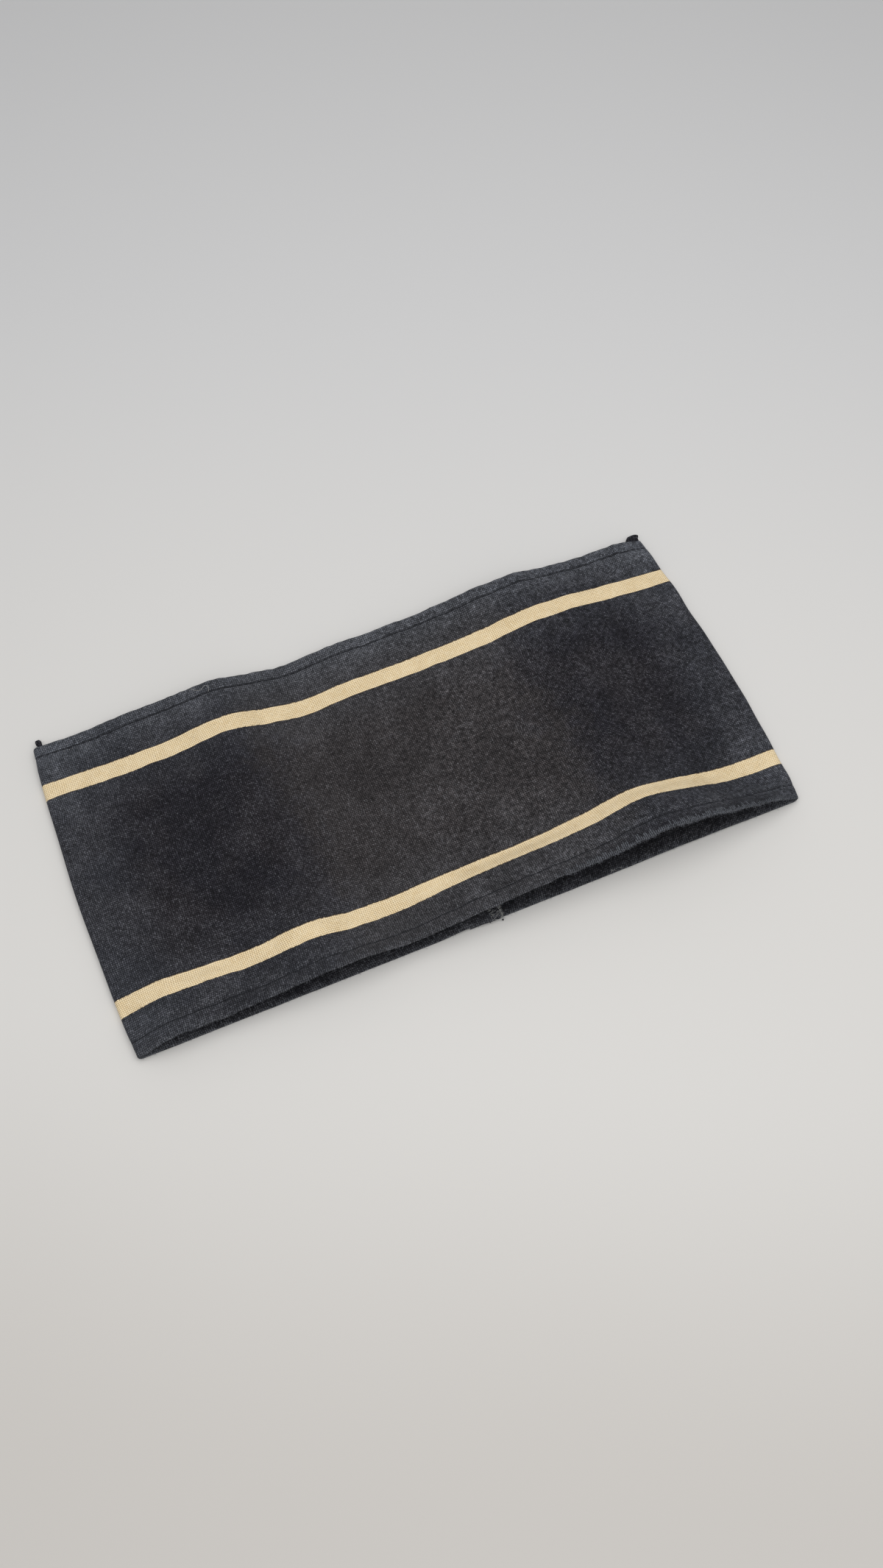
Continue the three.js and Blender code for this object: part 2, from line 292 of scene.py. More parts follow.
# Floor colours: a painted fall-off of light, darker and warmer near the camera, darker far away
FLOOR_NEAR_PAINTED_SHADE = (0.525, 0.502, 0.472, 1)
FLOOR_MIDDLE = (0.61, 0.596, 0.572, 1)
FLOOR_FAR_PAINTED_SHADE = (0.59, 0.586, 0.582, 1)
WORLD = (0.97, 0.98, 1, 1)
WORLD_STRENGTH = 0.5

# The floor and the lights above it, in metres and watts
FLOOR_HALF = 20000  # of its side, in millimetres
LIGHTS = [
    dict(name="key", place=(0.03, -0.08, 0.52), size=0.7, power=2.5),
    dict(name="fill", place=(-0.4, -0.4, 1.2), size=1.2, power=1.8),
]

# The camera, placed against the photograph
EYE = Vector((-81.93, -200.02 + MIDDLE_Y, 394.06)) * MM
YAW = math.radians(24.49)
PITCH = math.radians(61.54)
ROLL = math.radians(1.5)
FOCAL_PIXELS = 1920
PHOTO_HEIGHT_PIXELS = 2131
SENSOR = 36


def smooth(t):
    t = np.clip(t, 0, 1)
    return t * t * (3 - 2 * t)


def eased(knots, values, at):
    """A smooth curve through rising knots that never overshoots them."""
    knots, values = np.asarray(knots, float), np.asarray(values, float)
    steps = np.diff(knots).reshape((-1,) + (1,) * (values.ndim - 1))
    secants = np.diff(values, axis=0) / steps
    before, after = secants[:-1], secants[1:]
    total = np.where(before * after > 0, before + after, 1)
    inner = np.where(before * after > 0, 2 * before * after / total, 0)
    slopes = np.concatenate([secants[:1], inner, secants[-1:]])
    at = np.clip(at, knots[0], knots[-1])
    i = np.clip(np.searchsorted(knots, at) - 1, 0, len(knots) - 2)
    span = knots[i + 1] - knots[i]
    t = (at - knots[i]) / span
    return (
        (2 * t**3 - 3 * t**2 + 1) * values[i]
        + (t**3 - 2 * t**2 + t) * span * slopes[i]
        + (3 * t**2 - 2 * t**3) * values[i + 1]
        + (t**3 - t**2) * span * slopes[i + 1]
    )


def waves(along, across, longest, seed):
    """Smooth unevenness from -1 to 1, a sum of waves no longer than the length given."""
    draw = np.random.RandomState(seed)
    total = 0
    for _ in range(WAVE_DIRECTIONS):
        angle, length = draw.uniform(0, math.pi), longest * draw.uniform(SHORTEST_WAVE, 1)
        phase = draw.uniform(0, 2 * math.pi)
        way = (along * math.cos(angle) + across * math.sin(angle)) * 2 * math.pi / length
        total = total + np.sin(way + phase)
    return total / math.sqrt(WAVE_DIRECTIONS) / WAVE_CREST


def fold_cloth(across):
    from_edge = HALF_HEIGHT - abs(across)
    share = smooth((HEM_DEPTH + HEM_EASE - from_edge) / HEM_EASE)
    return FOLD_CLOTH + (FOLD_HEM_CLOTH - FOLD_CLOTH) * share


def fold_radius(across):
    return fold_cloth(across) + FOLD_SLACK / 2


def fold_uneven(across, seed):
    return FOLD_WAVE * (1 + waves(across, 0, FOLD_WAVE_LONGEST, seed))


def left_end(across):
    return -HALF_LENGTH + LEFT_FOLD_BOW * (across / HALF_HEIGHT) ** 2 + fold_uneven(across, seed=8)


def right_end(across):
    return HALF_LENGTH - RIGHT_FOLD_BOW * (across / HALF_HEIGHT) ** 2 - fold_uneven(across, seed=9)


def front_height(x, across):
    r = fold_radius(across)
    places = [left_end(across) + r, *RIPPLES_AT, right_end(across) - r]
    heights = [eased(places, [2 * r, *RIPPLES[name], 2 * r], x) for name in ACROSS]
    return eased(list(ACROSS.values()), heights, across)


def front_sway(x, across):
    most = eased(list(ACROSS.values()), [SWAY[name] for name in ACROSS], across)
    t = np.minimum(1, np.abs(x - SWAY_AT) / SWAY_HALF_LENGTH)
    return -most * np.cos(t * math.pi / 2) ** 2


def underside_height(x, across):
    along = smooth(1 - np.abs(x - LIFT_AT) / LIFT_HALF_LENGTH)
    return LIFT_HIGH * along * smooth(1 - (across + HALF_HEIGHT) / LIFT_DEPTH)


def hem_share(across):
    """1 in a hem and 0 in single cloth."""
    return smooth((abs(across) - (HALF_HEIGHT - HEM_DEPTH - HEM_STEP)) / HEM_STEP)


def thickness(across):
    return CLOTH + (HEM_CLOTH - CLOTH) * hem_share(across)


def stitch_line(across):
    """The place of the hem's stitch line on this side of the band."""
    return -HALF_HEIGHT + LOWER_STITCH_IN if across < 0 else HALF_HEIGHT - UPPER_STITCH_IN


def roll(across):
    """1 where a hem is puffed most, between its fold and its sewing."""
    sewn_in = HALF_HEIGHT - abs(stitch_line(across))
    share = np.clip((HALF_HEIGHT - abs(across)) / sewn_in, 0, 1)
    return math.sin(math.pi * share**ROLL_POWER)


def lap_rise(x, across):
    share = smooth((x - (LAP_START - LAP_CLEAR - LAP_RAMP)) / LAP_RAMP)
    return (thickness(across) + ROLL_IN * roll(across) + LAP_GAP) * share


def lap_overhang(x, across):
    """How far the strip's upper end slips past the lower edge."""
    share = smooth((x - (LAP_END - OVERHANG_START)) / OVERHANG_EASE)
    return -LAP_OVERHANG * share * smooth((OVERHANG_FROM - across) / OVERHANG_DEPTH)


class Line:
    """The strip's outer face along one line of it, from its lower end round to its upper."""

    def __init__(self, across):
        r = fold_radius(across)
        left, right = left_end(across) + r, right_end(across) - r
        ramp_start = LAP_START - LAP_CLEAR - LAP_RAMP
        turn = math.pi * np.arange(1, FOLD_STEPS) / FOLD_STEPS
        under = np.linspace(LAP_START, right, BACK_STEPS + 1)
        over = np.linspace(right, left, FRONT_STEPS + 1)
        to_lap = np.linspace(left, ramp_start, BACK_STEPS, endpoint=False)
        back = np.concatenate([to_lap, np.linspace(ramp_start, LAP_END, LAP_STEPS + 1)])
        back_high = underside_height(back, across) + lap_rise(back, across)
        upper = smooth(np.minimum(right - over, over - left) / UPPER_EASE)
        # Each part's places along the band, heights, slips across it and shares of upper layer
        parts = [
            (under, underside_height(under, across), 0, 0),
            (right + r * np.sin(turn), r - r * np.cos(turn), 0, 0),
            (over, front_height(over, across), front_sway(over, across), upper),
            (left - r * np.sin(turn), r + r * np.cos(turn), 0, 0),
            (back, back_high, lap_overhang(back, across), 0),
        ]
        parts = [np.stack(np.broadcast_arrays(*part)) for part in parts]
        self.x, self.z, slip, self.upper = np.concatenate(parts, 1)
        self.y = across + slip
        into = np.stack([-np.diff(self.z), np.diff(self.x)])
        size = np.hypot(*into)
        into = into / size
        into = np.concatenate([into[:, :1], into[:, :-1] + into[:, 1:], into[:, -1:]], 1)
        self.into_x, self.into_z = into / np.hypot(*into)
        run = np.concatenate([[0], np.cumsum(size)])
        self.arc = run - run[len(under) + len(turn) + FRONT_STEPS // 2]
        self.across = across


line_once = functools.cache(Line)


def line(across):
    return line_once(round(float(across), 4))


def wave(kind, along, across, other=0):
    """One kind of waves in the cloth, or another draw of them."""
    seed = kind["seed"] + other
    return kind["high"] * waves(along, across * kind["lean"], kind["longest"], seed)


def swell(at):
    """How far the cloth as a whole stands out from the plain form."""
    across = at.across
    side, size = (0, LOWER_PUCKERS) if across < 0 else (1, 1)
    in_from_edge = HALF_HEIGHT - abs(across)
    puckered = smooth((HEM_DEPTH + PUCKER_REACH - in_from_edge) / PUCKER_EASE)
    soft = wave(BROAD_WAVE, at.arc, across) + wave(SMALL_WAVE, at.arc, across)
    puckers = wave(PUCKER, at.arc, across, side) + wave(FINE_PUCKER, at.arc, across, side)
    front = soft + puckered * size * puckers - SINGLE_CLOTH_LOW * (1 - hem_share(across))
    most = UNDER_PUCKER["high"]
    back = -puckered * (most + np.clip(wave(UNDER_PUCKER, at.x, across, side), -most, most))
    return at.upper * front + (1 - at.upper) * back


def stitch_dip(across, arc):
    """How deep the sewing pulls a face in, at its line."""
    off = (across - stitch_line(across)) / DIP_WIDTH
    holes = 0.5 + 0.5 * np.cos(2 * math.pi * arc / STITCH_PITCH)
    return (STITCH_DIP + HOLE_DIP * holes) * np.exp(-(off**2))


@functools.cache
def surface(across, depth, outer_face=True, sewn=True):
    """Points at one depth in the cloth, along one line of it."""
    at = line(across)
    inward = depth - swell(at)
    if outer_face:
        inward = inward - ROLL_OUT * roll(across) * at.upper
    else:
        inward = inward + ROLL_IN * roll(across)
    if sewn:
        pull = stitch_dip(across, at.arc) * (UNDER_DIP + (1 - UNDER_DIP) * at.upper)
        inward = inward + pull * (1 if outer_face else -1)
    y = at.y + MIDDLE_Y
    return np.stack([at.x + at.into_x * inward, y, at.z + at.into_z * inward], -1)


def on_line(across, arcs, depth, outer_face=True, sewn=True):
    """Points at chosen arcs of one line, with the directions into the cloth."""
    at = line(across)
    points = surface(across, depth, outer_face, sewn)
    places = [np.interp(arcs, at.arc, points[:, k]) for k in range(3)]
    into_x = np.interp(arcs, at.arc, at.into_x)
    into_z = np.interp(arcs, at.arc, at.into_z)
    return np.stack(places, -1), np.stack([into_x, 0 * into_x, into_z], -1)


def on_face(arc, across, depth):
    """One point near the outer face, at any place."""
    low = math.floor(across / LINE_STEP) * LINE_STEP
    share = (across - low) / LINE_STEP
    lines = (low, min(low + LINE_STEP, HALF_HEIGHT))
    sides = [on_line(a, np.array([arc]), depth)[0][0] for a in lines]
    return sides[0] * (1 - share) + sides[1] * share


def front_arc(x, across):
    """The arc of a place on the upper layer."""
    at = line(across)
    front = at.upper > 0
    return np.interp(-x, -at.x[front], at.arc[front])


def new_object(name, points, faces, material, smooth_angle=50, cloth=None):
    """A mesh object from points in millimetres."""
    mesh = bpy.data.meshes.new(name)
    mesh.from_pydata((np.asarray(points) * MM).tolist(), [], faces)
    if cloth is not None:
        made = mesh.attributes.new("cloth", "FLOAT_VECTOR", "POINT")
        made.data.foreach_set("vector", np.asarray(cloth, float).ravel())
    mesh.shade_smooth()
    mesh.set_sharp_from_angle(angle=math.radians(smooth_angle))
    mesh.materials.append(material)
    piece = bpy.data.objects.new(name, mesh)
    bpy.context.scene.collection.objects.link(piece)
    return piece


def rows(low, high, step):
    count = max(1, math.ceil((high - low) / step - 1e-6))
    return list(np.linspace(low, high, count + 1))


def outer_rows(low, high):
    """Places of the rows over one zone of the outer face, closer together in the hems."""
    hem = HALF_HEIGHT - HEM_DEPTH - HEM_ROWS_PAST
    cuts = [low] + [c for c in (-hem, hem) if low < c < high] + [high]
    made = []
    for start, end in zip(cuts, cuts[1:]):
        in_hem = abs(start + end) / 2 > hem
        made += rows(start, end, HEM_ROW_STEP if in_hem else ROW_STEP)[:-1]
    made.append(high)
    for side in (-1, 1):
        sewn = stitch_line(side)
        if low < sewn < high:
            made = [a for a in made if abs(a - sewn) > max(DIP_ROWS) + DIP_CLEAR]
            made += [sewn + off for off in DIP_ROWS]
    return sorted(made)


def hem_round(side):
    """The folded edge of a hem: points from the outer face round to the inner."""
    radius = HEM_CLOTH / 2
    angles = np.linspace(0, math.pi, HEM_ROUND_ROWS)
    return [
        (side * (HALF_HEIGHT - radius + radius * math.sin(a)), radius - radius * math.cos(a))
        for a in angles
    ]


def zone_section(low, high):
    """Section of one zone of the cloth: (across, depth, face) points, all the way round it."""
    radius = HEM_CLOTH / 2
    has_low_hem, has_high_hem = low <= -HALF_HEIGHT, high >= HALF_HEIGHT
    start = low + radius if has_low_hem else low
    end = high - radius if has_high_hem else high
    section = [(a, 0, 0) for a in outer_rows(start, end)]
    if has_high_hem:
        section += [(a, d, d / HEM_CLOTH) for a, d in hem_round(1)[1:-1]]
    inner = rows(start, end, INNER_ROW_STEP)
    for side in (-1, 1):
        steps = [side * (HALF_HEIGHT - HEM_DEPTH - off) for off in STEP_ROWS]
        steps += [stitch_line(side) + off for off in DIP_ROWS[::2]]
        steps = [a for a in steps if start < a < end]
        inner += [a for a in steps if min(abs(a - b) for b in inner) > ROWS_APART]
    section += [(a, thickness(a), 1) for a in sorted(inner, reverse=True)]
    if has_low_hem:
        section += [(a, d, d / HEM_CLOTH) for a, d in reversed(hem_round(-1)[1:-1])]
    return section


def ring_faces(around, along, count=1):
    """Faces of closed tubes, from points in order round each ring and along each tube."""
    base = (np.arange(count) * along * around)[:, None, None]
    ring = base + (np.arange(along - 1) * around)[:, None]
    n = np.arange(around)
    m = (n + 1) % around
    quads = np.stack([ring + n, ring + m, ring + around + m, ring + around + n], -1)
    faces = quads.reshape(-1, 4).tolist()
    for first in base.ravel().tolist():
        last = first + (along - 1) * around
        faces.append([first + n for n in range(around)][::-1])
        faces.append([last + n for n in range(around)])
    return faces


def zone_mesh(section):
    """Points, faces and cloth coordinates of a closed strip with this section."""
    points = [surface(a, depth, face < 0.5) for a, depth, face in section]
    cloth = [np.stack(np.broadcast_arrays(line(a).arc, a, face), -1) for a, _, face in section]
    faces = ring_faces(len(section), len(points[0]))
    return np.stack(points, 1).reshape(-1, 3), faces, np.stack(cloth, 1).reshape(-1, 3)


def strip_object(name, zones, material):
    """One object from some zones of the cloth, each a closed shell."""
    points, faces, cloth = [], [], []
    for low, high in zones:
        zone_points, zone_faces, zone_cloth = zone_mesh(zone_section(low, high))
        start = sum(len(p) for p in points)
        points.append(zone_points)
        faces += [[start + n for n in face] for face in zone_faces]
        cloth.append(zone_cloth)
    return new_object(name, np.concatenate(points), faces, material, cloth=np.concatenate(cloth))


def tubes(name, paths, radii, material, sides):
    """Thin round threads, one for each path of points, as one object with closed ends."""
    paths = np.asarray(paths, float)
    radii = np.asarray(radii, float)
    count, steps = paths.shape[:2]
    way = np.gradient(paths, axis=1)
    way /= np.linalg.norm(way, axis=2, keepdims=True) + 1e-9
    helper = np.where(np.abs(way[..., 2:]) < 0.9, [[[0, 0, 1.0]]], [[[1.0, 0, 0]]])
    side = np.cross(way, helper)
    side /= np.linalg.norm(side, axis=2, keepdims=True) + 1e-9
    other = np.cross(way, side)
    turn = 2 * math.pi * np.arange(sides) / sides
    turn = turn[:, None]
    ring = side[:, :, None] * np.cos(turn) + other[:, :, None] * np.sin(turn)
    points = paths[:, :, None] + ring * radii[:, :, None, None]
    faces = ring_faces(sides, steps, count)
    return new_object(name, points.reshape(-1, 3), faces, material, smooth_angle=70)


class Nodes:
    """Short ways to add nodes to a material."""

    def __init__(self, name):
        self.material = bpy.data.materials.new(name)
        self.material.use_nodes = True
        self.tree = self.material.node_tree
        self.tree.nodes.clear()

    def add(self, kind, inputs=(), **settings):
        """A node, with what feeds each input that isn't left as it is."""
        made = self.tree.nodes.new(kind)
        for key, value in settings.items():
            setattr(made, key, value)
        for socket, value in dict(inputs).items():
            if isinstance(value, bpy.types.NodeSocket):
                self.tree.links.new(value, made.inputs[socket])
            else:
                made.inputs[socket].default_value = value
        return made

    def math(self, operation, *values, clamp=False):
        settings = dict(operation=operation, use_clamp=clamp)
        return self.add("ShaderNodeMath", enumerate(values), **settings).outputs[0]

    def ramp(self, value, low, high, to_low=0, to_high=1):
        """A smooth step of a value from one level to another."""
        inputs = enumerate((value, low, high, to_low, to_high))
        made = self.add("ShaderNodeMapRange", inputs, interpolation_type="SMOOTHSTEP")
        return made.outputs[0]

    def mix(self, share, first, second):
        inputs = {"Factor": share, 6: first, 7: second}
        return self.add("ShaderNodeMix", inputs, data_type="RGBA").outputs[2]

    def plus(self, base, value, weight=1.0):
        return self.math("MULTIPLY_ADD", value, weight, base)

    def times(self, first, other):
        return self.math("MULTIPLY", first, other)

    def off(self, value, middle):
        """How far a value lies from a middle, to either side."""
        return self.math("ABSOLUTE", self.math("SUBTRACT", value, middle))

    def vary(self, value, noise, amount, clamp=False):
        """A value pushed up and down by a noise round a half."""
        centred = self.math("SUBTRACT", noise, 0.5)
        return self.math("MULTIPLY_ADD", centred, amount, value, clamp=clamp)

    def slope(self, value, row):
        """A smooth step with the limits and levels of one row of a table."""
        return self.ramp(value, row["start"], row["end"], row["at_start"], row["at_end"])

    def scale(self, color, factor):
        inputs = {0: color, "Scale": factor}
        return self.add("ShaderNodeVectorMath", inputs, operation="SCALE").outputs[0]

    def vector(self, x, y, z=0):
        return self.add("ShaderNodeCombineXYZ", enumerate((x, y, z))).outputs[0]

    def split(self, vector):
        return self.add("ShaderNodeSeparateXYZ", {0: vector}).outputs

    def noise(self, vector, scale, detail, roughness=0.5):
        inputs = {"Vector": vector, "Scale": scale, "Detail": detail, "Roughness": roughness}
        return self.add("ShaderNodeTexNoise", inputs, noise_dimensions="3D").outputs["Fac"]

    def random(self, vector):
        inputs = {"Vector": vector}
        made = self.add("ShaderNodeTexWhiteNoise", inputs, noise_dimensions="3D")
        return made.outputs["Value"]

    def finish(self, color, roughness, sheen, sheen_tint, specular, bump=None, bump_depth=0):
        inputs = {
            "Base Color": color,
            "Roughness": roughness,
            "Specular IOR Level": specular,
            "Sheen Weight": sheen,
            "Sheen Roughness": 0.5,
            "Sheen Tint": sheen_tint,
        }
        if bump is not None:
            raised = {"Strength": 1, "Distance": bump_depth, "Height": bump}
            inputs["Normal"] = self.add("ShaderNodeBump", raised).outputs[0]
        shader = self.add("ShaderNodeBsdfPrincipled", inputs)
        self.add("ShaderNodeOutputMaterial", {0: shader.outputs[0]})
        return self.material


def weave(n, along, across, ground):
    """Plain weave: its crowns, its holes, its fibres and the numbers of each cell."""
    drift = n.noise(ground, DRIFT_SCALE, 0)
    drift_other = n.noise(n.vector(across, along, 7), DRIFT_SCALE, 0)
    warp = n.math("DIVIDE", n.vary(along, drift, 1), THREAD_PITCH)
    weft = n.math("DIVIDE", n.vary(across, drift_other, 0.8), THREAD_PITCH)

    # Each cell has the warp or the weft on top
    wave_u = n.math("SINE", n.times(warp, math.pi))
    wave_v = n.math("SINE", n.times(weft, math.pi))
    warp_up = n.math("GREATER_THAN", n.times(wave_u, wave_v), 0)
    size_u, size_v = n.math("ABSOLUTE", wave_u), n.math("ABSOLUTE", wave_v)
    long_power = n.plus(0.9, warp_up, -0.65)
    cross_power = n.plus(0.25, warp_up, 0.65)
    crown = n.times(n.math("POWER", size_u, long_power), n.math("POWER", size_v, cross_power))

    # Fibres run along the thread that is on top
    long_scale = n.plus(1.6, warp_up, -1.1)
    cross_scale = n.plus(0.5, warp_up, 1.1)
    stretched = n.vector(n.times(along, long_scale), n.times(across, cross_scale))
    cell_u, cell_v = n.math("FLOOR", warp), n.math("FLOOR", weft)
    return SimpleNamespace(
        crown=crown,
        hole=n.ramp(n.math("MAXIMUM", size_u, size_v), 0.3, 0.8, 1, 0),
        fibre=n.noise(stretched, FIBRE_SCALE, 2),
        size_u=size_u,
        cell_u=cell_u,
        cell_v=cell_v,
        chance=n.random(n.vector(cell_u, cell_v, 1)),
        chance_other=n.random(n.vector(cell_u, cell_v, 5)),
    )


def bare_share(n, spot, cells):
    """1 in the two stripes that the print leaves bare, with the rim that the print bleeds into."""
    cell_middle = n.times(n.plus(cells.cell_v, 0.5), THREAD_PITCH)
    toothed = n.plus(n.times(spot.across, 0.7), n.times(cell_middle, 0.3))
    edge = n.vary(toothed, cells.chance_other, 0.12)
    edge = n.vary(edge, spot.cloud, 0.35)
    edge = n.vary(edge, spot.broad, 0.8)
    from_lower = n.off(edge, (LOWER_OUT + LOWER_IN) / 2)
    from_upper = n.off(edge, (UPPER_OUT + UPPER_IN) / 2)
    from_stripe = n.math("MINIMUM", from_lower, from_upper)
    half = STRIPE_WIDTH / 2
    bare = n.ramp(from_stripe, half - 0.06, half + 0.06, 1, 0)
    rim = n.ramp(from_stripe, half + 0.05, half + 0.4, 1, 0)
    return bare, rim


def bare_color(n, spot, cells):
    """Aged cream cotton, with painted shade on its threads' sides and between them."""
    age = spot.cloud
    cream = n.mix(age, CREAM_AGED, CREAM_CLEAN)
    cream = n.mix(n.times(cells.chance, 0.35), cream, CREAM_PALE)
    cream = n.mix(n.ramp(cells.fibre, 0.35, 0.7, 0.3, 0), cream, CREAM_FIBRE)
    # Painted shade on the threads' sides
    cream = n.mix(n.ramp(cells.crown, 0, 0.7, 0.5, 0), cream, CREAM_SIDE_SHADE)
    uneven = n.plus(n.ramp(age, 0.35, 0.65, 0.55, 0.2), cells.chance_other, 0.4)
    # Painted shade in the holes between the threads
    return n.mix(n.times(cells.hole, uneven), cream, CREAM_HOLE_SHADE)


def print_ground(n, spot):
    """Black print, browner in the middle, blue-grey from fading at the hems, from fading and
    painted sheen at the folds, and darkened by painted shade on its inner face.
    """
    black = n.mix(n.ramp(spot.broad, 0.4, 0.62), PRINT_COOL, PRINT_WARM)
    off_patch = n.vary(n.off(spot.along, MIDDLE_PATCH_AT), spot.cloud, 30)
    off_patch = n.vary(off_patch, spot.broad, 50)
    middle = n.slope(off_patch, MIDDLE_PATCH)
    black = n.mix(middle, black, PRINT_MIDDLE)
    # Painted shade: the inner face, inside the loop, is darkened
    black = n.mix(n.times(spot.inner, 0.5), black, INSIDE_PAINTED_SHADE)

    upper = n.plus(0.27, middle, 0.14)
    fade_and_sheen = n.times(n.slope(spot.across, UPPER_FADE), upper)
    # Fading at the hems, with painted sheen at the folds
    for row in FADING_AND_SHEEN:
        fade_and_sheen = n.plus(fade_and_sheen, n.slope(getattr(spot, row["by"]), row))
    # Painted shade: the inner face gets less fade, so it stays darker
    fade_and_sheen = n.plus(fade_and_sheen, spot.inner, -0.1)
    fade_and_sheen = n.vary(fade_and_sheen, spot.cloud, 0.1)
    fade_and_sheen = n.vary(fade_and_sheen, spot.broad, 0.1, clamp=True)
    return n.mix(fade_and_sheen, black, PRINT_FADED_AND_SHEEN)


def thread_tone(n, spot, cells):
    """How much lighter or darker each place is than the print round it; the crowns' share is
    painted light and shade of the weave.
    """
    grain = n.vary(0, spot.grain, n.slope(spot.along, GRAIN_TONE))
    tone = n.plus(TONE_START, cells.fibre, FIBRE_TONE)
    # Painted light and shade: crowns lighter, sides and gaps darker
    tone = n.plus(n.plus(tone, grain), cells.crown, CROWN_LIGHT_AND_SHADE)
    tone = n.plus(tone, cells.chance, CELL_TONE)
    tone = n.vary(tone, spot.cloud, PATCH_TONE)
    tone = n.vary(tone, spot.broad, PATCH_TONE)
    return n.math("POWER", math.e, tone)


def worn_share(n, spot, cells):
    """Thread tops worn grey: in patches, beside the sewing and along the folded edge."""
    hem_patch = n.ramp(spot.cloud, 0.36, 0.6, 0.35, 1)
    beside = n.ramp(n.off(spot.from_edge, 6.2), 0.6, 2.4, 0.16, 0)
    at_fold = n.ramp(spot.from_edge, 0.7, 2.6, 0.2, 0)
    worn = n.times(n.plus(beside, at_fold), hem_patch)
    worn = n.plus(worn, n.ramp(spot.cloud, 0.34, 0.68, 0.02, 0.12))
    worn = n.plus(worn, n.ramp(spot.broad, 0.38, 0.62, 0.02, 0.12))
    worn = n.plus(worn, spot.inner, 0.1)
    worn = n.plus(worn, cells.fibre, 1.9)
    worn = n.plus(worn, cells.chance, 0.5)
    top = n.times(n.ramp(worn, 1.4, 1.84), n.ramp(cells.crown, 0.1, 0.7))
    strength = n.plus(0.18, cells.chance_other, 0.3)
    strength = n.times(strength, n.ramp(spot.from_edge, 8, 15, 1.3, 1))
    return n.times(top, strength)


def fold_threads(n, black, spot, cells):
    """Worn threads that cross the lower fold in a comb, most on its right, over painted shade
    along the fold's edge.
    """
    low_side = n.math("LESS_THAN", spot.across, 0)
    right = n.times(n.slope(n.off(spot.along, COMB_AT), COMB_SHARE), low_side)
    # Painted shade along the lower fold's edge, most on its right
    shaded = n.times(n.ramp(spot.from_edge, 1, 5, 0.6, 0), right)
    black = n.mix(shaded, black, FOLD_SHADE)
    thread = n.random(n.vector(cells.cell_u, 0, 9))
    reach = n.plus(0.4, thread, 2)
    past_reach = n.math("SUBTRACT", spot.from_edge, reach)
    comb = n.times(n.ramp(past_reach, -0.4, 0.3, 1, 0), right)
    comb = n.times(comb, n.math("POWER", cells.size_u, 2))
    comb = n.times(comb, n.ramp(cells.fibre, 0.35, 0.6, 0.15, 0.85))
    return n.mix(comb, black, FOLD_THREADS)


def printed_color(n, spot, cells):
    """The print with its thread tones, its wear, and dirt and painted shade in the creases of the
    sewing.
    """
    black = n.scale(print_ground(n, spot), thread_tone(n, spot, cells))
    black = n.mix(worn_share(n, spot, cells), black, WORN_GREY)
    black = fold_threads(n, black, spot, cells)
    for place in (stitch_line(-1), stitch_line(1)):
        # Dirt and painted shade darken the creases along the stitch lines
        crease = n.ramp(n.off(spot.across, place), 0.1, 0.45, 0.6, 0)
        black = n.mix(crease, black, SEWING_DIRT_AND_SHADE)
    return black


def cloth_material(name):
    """Plain weave, printed near black but for the two stripes, with its wear."""
    n = Nodes(name)
    place = n.add("ShaderNodeAttribute", attribute_name="cloth")
    along, across, inner = n.split(place.outputs["Vector"])
    ground = n.vector(along, across, inner)
    cloud_ground = n.vector(along, across, n.plus(inner, 11))
    grain_ground = n.vector(along, across, n.plus(inner, 23))
    spot = SimpleNamespace(
        along=along,
        across=across,
        inner=inner,
        from_edge=n.math("SUBTRACT", HALF_HEIGHT, n.math("ABSOLUTE", across)),
        from_fold=n.off(n.math("ABSOLUTE", along), HALF_LENGTH),
        broad=n.noise(ground, BROAD_SCALE, 3, PATCH_ROUGHNESS),
        cloud=n.noise(cloud_ground, CLOUD_SCALE, 3, PATCH_ROUGHNESS),
        grain=n.noise(grain_ground, GRAIN_SCALE, 2),
    )
    cells = weave(n, along, across, ground)
    bare, rim = bare_share(n, spot, cells)
    black = n.mix(n.times(rim, 0.5), printed_color(n, spot, cells), PRINT_RIM)
    color = n.mix(bare, black, bare_color(n, spot, cells))
    height = n.plus(cells.crown, cells.fibre, 0.35)
    rough = n.plus(0.82, cells.chance, 0.12)
    return n.finish(color, rough, bump=height, bump_depth=CLOTH_BUMP, **CLOTH_FINISH)


def thread_material(name, dark, pale):
    """Twisted thread, its colour uneven along it."""
    n = Nodes(name)
    place = n.add("ShaderNodeTexCoord").outputs["Object"]
    uneven = n.noise(place, 900, 1)
    inputs = {"Vector": place, "Scale": 1400, "Distortion": 1.5}
    twist = n.add("ShaderNodeTexWave", inputs, wave_type="BANDS", bands_direction="DIAGONAL")
    color = n.mix(uneven, dark, pale)
    bump = twist.outputs["Fac"]
    return n.finish(color, 0.75, bump=bump, bump_depth=THREAD_BUMP, **THREAD_FINISH)


